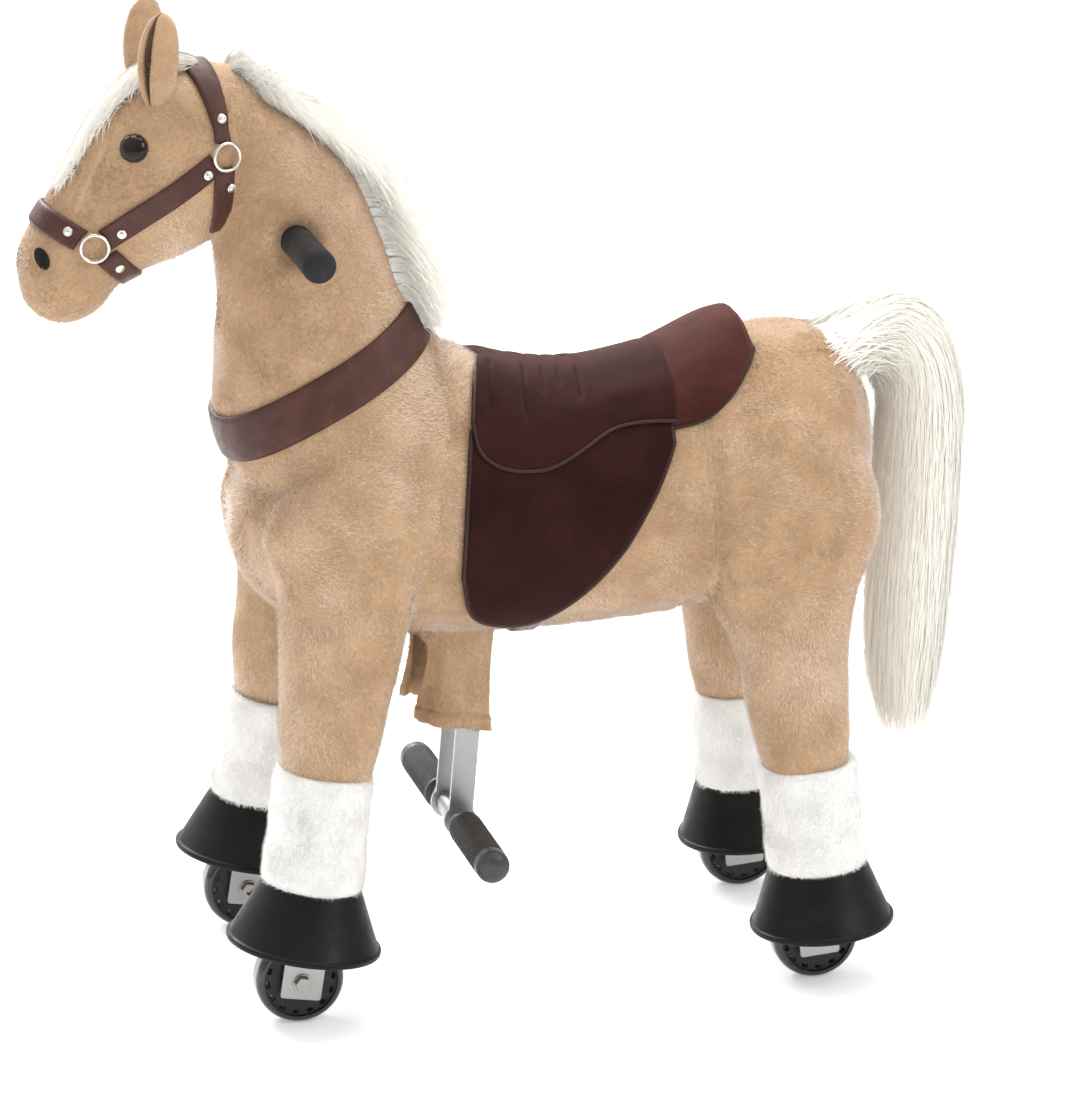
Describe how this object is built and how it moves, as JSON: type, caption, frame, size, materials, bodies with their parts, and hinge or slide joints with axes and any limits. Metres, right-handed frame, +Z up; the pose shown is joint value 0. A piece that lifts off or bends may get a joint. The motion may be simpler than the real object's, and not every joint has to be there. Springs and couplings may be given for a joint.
{
  "type": "ride-on plush horse",
  "caption": "Ride-on plush horse on wheels: a saddled stuffed body over a steel frame, legs that swing together, a steering neck with hand grips, and footrests.",
  "frame": {"origin": "floor under the middle of the whole toy", "axes": "+Z up, -X the way the horse faces, -Y its left side"},
  "size_m": [0.8784, 0.394, 0.9071],
  "materials": {
    "plush": "short pile plush",
    "cream_plush": "short pile plush",
    "long_pile": "long silky pile",
    "suede": "suede",
    "strap": "smooth",
    "rubber": "matt",
    "peg_rubber": "knurled",
    "wheel_tyre": "satin",
    "hub_plastic": "satin",
    "steel": "zinc plated",
    "frame_paint": "satin",
    "board": "plain ply",
    "eye": "polished",
    "nickel": "polished"
  },
  "bodies": {
    "horse_body": {"main_frame": "frame_paint", "seat_board": "board", "lever_bolt": "steel", "lever_spacers": "steel", "body_plush": "plush", "saddle_seat": "suede", "saddle_cantle": "suede", "saddle_flap_left": "suede", "saddle_flap_right": "suede", "girth": "strap", "breast_collar": "strap", "tail": "long_pile"},
    "neck": {"steering_column": "frame_paint", "handlebar": "steel", "grip_left": "rubber", "grip_right": "rubber", "neck_plush": "plush", "head_plush": "plush", "ears": "plush", "eyes": "eye", "mane": "long_pile", "forelock": "long_pile", "noseband": "strap", "cheek_straps": "strap", "crown_strap": "strap", "halter_rings": "nickel", "halter_rivets": "nickel"},
    "front_legs": {"front_shaft": "frame_paint", "front_leg_tubes": "frame_paint", "front_leg_left": "plush", "front_leg_right": "plush", "front_socks": "cream_plush", "front_hooves": "rubber"},
    "rear_legs": {"rear_shaft": "frame_paint", "rear_leg_tubes": "frame_paint", "rear_leg_left": "plush", "rear_leg_right": "plush", "rear_socks": "cream_plush", "rear_hooves": "rubber", "rear_brackets": "steel", "rear_axles": "steel"},
    "front_fork_left": {"fork_left": "steel", "front_axle_left": "steel"},
    "front_fork_right": {"fork_right": "steel", "front_axle_right": "steel"},
    "footrest": {"lever_plates": "steel", "foot_bar": "steel", "foot_grips": "peg_rubber", "belly_sleeve": "plush"},
    "lever_link_rod": {"lever_link": "steel"},
    "gait_link_rod": {"gait_link": "steel"},
    "wheel_front_left": {"tyre_front_left": "wheel_tyre", "hub_front_left": "hub_plastic"},
    "wheel_front_right": {"tyre_front_right": "wheel_tyre", "hub_front_right": "hub_plastic"},
    "wheel_rear_left": {"tyre_rear_left": "wheel_tyre", "hub_rear_left": "hub_plastic"},
    "wheel_rear_right": {"tyre_rear_right": "wheel_tyre", "hub_rear_right": "hub_plastic"}
  },
  "joints": [
    {"name": "steer", "type": "hinge", "parent": "horse_body", "child": "neck", "pos_m": [-0.14916, 0, 0.58892], "axis": [-0.4258, 0, 0.9048], "range_deg": [-15, 15]},
    {"name": "front_swing", "type": "hinge", "parent": "horse_body", "child": "front_legs", "pos_m": [-0.16, 0, 0.43], "axis": [0, -1, 0], "range_deg": [0, 9]},
    {"name": "rear_swing", "type": "hinge", "parent": "horse_body", "child": "rear_legs", "pos_m": [0.235, 0, 0.43], "axis": [0, 1, 0], "range_deg": [0, 9]},
    {"name": "footrest_swing", "type": "hinge", "parent": "horse_body", "child": "footrest", "pos_m": [-0.025, 0, 0.43], "axis": [0, -1, 0], "range_deg": [0, 4.6]},
    {"name": "lever_link_turn", "type": "hinge", "parent": "front_legs", "child": "lever_link_rod", "pos_m": [-0.16, 0.0425, 0.4], "axis": [0, -1, 0], "range_deg": [-9.4, 0]},
    {"name": "gait_link_turn", "type": "hinge", "parent": "front_legs", "child": "gait_link_rod", "pos_m": [-0.16, -0.0425, 0.385], "axis": [0, -1, 0], "range_deg": [-9.4, 0]},
    {"name": "fork_turn_left", "type": "hinge", "parent": "front_legs", "child": "front_fork_left", "pos_m": [-0.22177, -0.127, 0.04], "axis": [0.1564, 0, 0.9877], "range_deg": [-15, 15]},
    {"name": "fork_turn_right", "type": "hinge", "parent": "front_legs", "child": "front_fork_right", "pos_m": [-0.22177, 0.127, 0.04], "axis": [0.1564, 0, 0.9877], "range_deg": [-15, 15]},
    {"name": "wheel_front_left_spin", "type": "hinge", "parent": "front_fork_left", "child": "wheel_front_left", "pos_m": [-0.22177, -0.127, 0.04], "axis": [0, 1, 0], "continuous": true},
    {"name": "wheel_rear_left_spin", "type": "hinge", "parent": "rear_legs", "child": "wheel_rear_left", "pos_m": [0.25803, -0.127, 0.04], "axis": [0, 1, 0], "continuous": true},
    {"name": "wheel_front_right_spin", "type": "hinge", "parent": "front_fork_right", "child": "wheel_front_right", "pos_m": [-0.22177, 0.127, 0.04], "axis": [0, 1, 0], "continuous": true},
    {"name": "wheel_rear_right_spin", "type": "hinge", "parent": "rear_legs", "child": "wheel_rear_right", "pos_m": [0.25803, 0.127, 0.04], "axis": [0, 1, 0], "continuous": true}
  ],
  "couplings": [
    {"joint": "rear_swing", "follows": "front_swing", "ratio": 1},
    {"joint": "footrest_swing", "follows": "front_swing", "ratio": 0.5},
    {"joint": "lever_link_turn", "follows": "front_swing", "ratio": -1.027},
    {"joint": "gait_link_turn", "follows": "front_swing", "ratio": -1.017},
    {"joint": "fork_turn_left", "follows": "steer", "ratio": 1},
    {"joint": "fork_turn_right", "follows": "steer", "ratio": 1}
  ]
}
